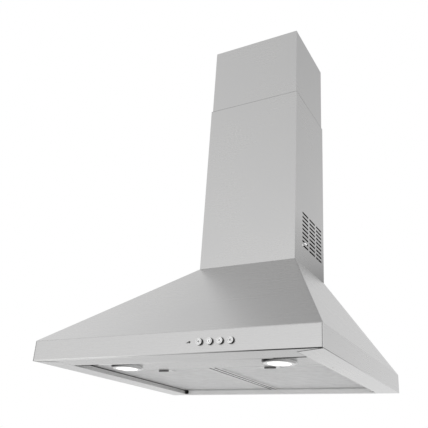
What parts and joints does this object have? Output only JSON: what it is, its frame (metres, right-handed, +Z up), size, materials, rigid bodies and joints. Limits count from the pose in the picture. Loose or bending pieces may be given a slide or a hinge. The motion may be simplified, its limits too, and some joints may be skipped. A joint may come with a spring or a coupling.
{
  "type": "chimney range hood",
  "caption": "Wall-mounted pyramid chimney range hood in brushed stainless steel with grease filters, lamps, push buttons and a telescoping duct cover.",
  "frame": {"origin": "on the wall plane, midway between the two upper hanging slots", "axes": "+Z up, +Y into the wall, +X to the right of someone facing the hood"},
  "size_m": [0.598, 0.5242, 0.93],
  "materials": {
    "stainless_canopy": "brushed along the width",
    "stainless_chimney": "brushed along the height",
    "galvanised": "dull zinc spangle",
    "filter_alu": "satin",
    "filter_mesh": "expanded mesh",
    "latch_plastic": "matte",
    "spring_steel": "bright",
    "bezel_metal": "satin chrome",
    "lamp_glass": "frosted",
    "lamp_can": "cast, matte",
    "circuit_board": "solder mask",
    "led_board": "white solder mask",
    "button_chrome": "satin chrome",
    "indicator": "clear smoked",
    "black_plastic": "moulded, fine grain",
    "grey_plastic": "moulded",
    "motor_steel": "cast housing",
    "shaft_steel": "ground",
    "wheel_plastic": "moulded",
    "capacitor_case": "drawn can",
    "terminal_plastic": "moulded",
    "wire_sheath": "pvc sheath",
    "screw_zinc": "zinc plated"
  },
  "bodies": {
    "hood": {"canopy_shell": "stainless_canopy", "front_fascia": "stainless_canopy", "rear_panel": "galvanised", "lamp_panel": "stainless_canopy", "filter_divider_bar": "stainless_canopy", "lamp_bezel_left": "bezel_metal", "lamp_bezel_right": "bezel_metal", "lamp_lens_left": "lamp_glass", "lamp_lens_right": "lamp_glass", "lamp_body_left": "lamp_can", "lamp_body_right": "lamp_can", "lamp_led_board_left": "led_board", "lamp_led_board_right": "led_board", "indicator_lens": "indicator", "switch_block": "black_plastic", "control_board": "circuit_board", "blower_housing_left": "black_plastic", "blower_housing_right": "black_plastic", "motor_body": "motor_steel", "motor_mount": "galvanised", "motor_capacitor": "capacitor_case", "capacitor_clip": "galvanised", "blower_support_plate": "galvanised", "outlet_collar": "grey_plastic", "damper_pin": "shaft_steel", "lower_chimney_cover": "stainless_chimney", "lower_wall_bracket": "galvanised", "terminal_box": "terminal_plastic", "terminal_box_lid": "terminal_plastic", "cable_gland": "black_plastic", "lamp_driver": "terminal_plastic", "control_wiring": "wire_sheath", "motor_wiring": "wire_sheath", "lamp_wiring": "wire_sheath", "lamp_panel_screws": "screw_zinc", "switch_block_screws": "screw_zinc", "blower_fixing_screws": "screw_zinc", "blower_housing_screws": "screw_zinc", "motor_mount_screws": "screw_zinc", "wall_bracket_screws": "screw_zinc", "terminal_box_screws": "screw_zinc"},
    "upper_chimney": {"upper_chimney_cover": "stainless_chimney", "upper_wall_bracket": "galvanised"},
    "filter_left": {"filter_frame_left": "filter_alu", "filter_mesh_left": "filter_mesh", "latch_spring_left": "spring_steel"},
    "filter_right": {"filter_frame_right": "filter_alu", "filter_mesh_right": "filter_mesh", "latch_spring_right": "spring_steel"},
    "latch_left": {"filter_latch_left": "latch_plastic"},
    "latch_right": {"filter_latch_right": "latch_plastic"},
    "light_switch": {"light_button": "button_chrome"},
    "low_speed_switch": {"low_speed_button": "button_chrome"},
    "medium_speed_switch": {"medium_speed_button": "button_chrome"},
    "high_speed_switch": {"high_speed_button": "button_chrome"},
    "impeller": {"impeller_wheel": "wheel_plastic", "motor_shaft": "shaft_steel"},
    "flap_front": {"damper_flap_front": "black_plastic"},
    "flap_rear": {"damper_flap_rear": "black_plastic"}
  },
  "joints": [
    {"name": "upper_cover_slide", "type": "slide", "parent": "hood", "child": "upper_chimney", "axis": [0, 0, 1], "range_m": [-0.19, 0.18]},
    {"name": "left_filter_drop", "type": "hinge", "parent": "hood", "child": "filter_left", "pos_m": [-0.127, -0.024, -0.374], "axis": [1, 0, 0], "range_deg": [0, 80]},
    {"name": "right_filter_drop", "type": "hinge", "parent": "hood", "child": "filter_right", "pos_m": [0.127, -0.024, -0.374], "axis": [1, 0, 0], "range_deg": [0, 80]},
    {"name": "left_latch_slide", "type": "slide", "parent": "filter_left", "child": "latch_left", "axis": [0, 1, 0], "range_m": [0, 0.006], "stiffness_N_per_m": 250, "springref_m": -0.004, "deforming": ["latch_spring_left"]},
    {"name": "right_latch_slide", "type": "slide", "parent": "filter_right", "child": "latch_right", "axis": [0, 1, 0], "range_m": [0, 0.006], "stiffness_N_per_m": 250, "springref_m": -0.004, "deforming": ["latch_spring_right"]},
    {"name": "light_button_press", "type": "slide", "parent": "hood", "child": "light_switch", "axis": [0, 1, 0], "range_m": [0, 0.0025], "stiffness_N_per_m": 500, "springref_m": -0.001},
    {"name": "low_speed_button_press", "type": "slide", "parent": "hood", "child": "low_speed_switch", "axis": [0, 1, 0], "range_m": [0, 0.0025], "stiffness_N_per_m": 500, "springref_m": -0.001},
    {"name": "medium_speed_button_press", "type": "slide", "parent": "hood", "child": "medium_speed_switch", "axis": [0, 1, 0], "range_m": [0, 0.0025], "stiffness_N_per_m": 500, "springref_m": -0.001},
    {"name": "high_speed_button_press", "type": "slide", "parent": "hood", "child": "high_speed_switch", "axis": [0, 1, 0], "range_m": [0, 0.0025], "stiffness_N_per_m": 500, "springref_m": -0.001},
    {"name": "impeller_spin", "type": "hinge", "parent": "hood", "child": "impeller", "pos_m": [0, -0.132, -0.243], "axis": [1, 0, 0], "continuous": true},
    {"name": "front_flap_lift", "type": "hinge", "parent": "hood", "child": "flap_front", "pos_m": [0, -0.095, -0.055], "axis": [-1, 0, 0], "range_deg": [0, 72]},
    {"name": "rear_flap_lift", "type": "hinge", "parent": "hood", "child": "flap_rear", "pos_m": [0, -0.095, -0.055], "axis": [1, 0, 0], "range_deg": [0, 72]}
  ]
}
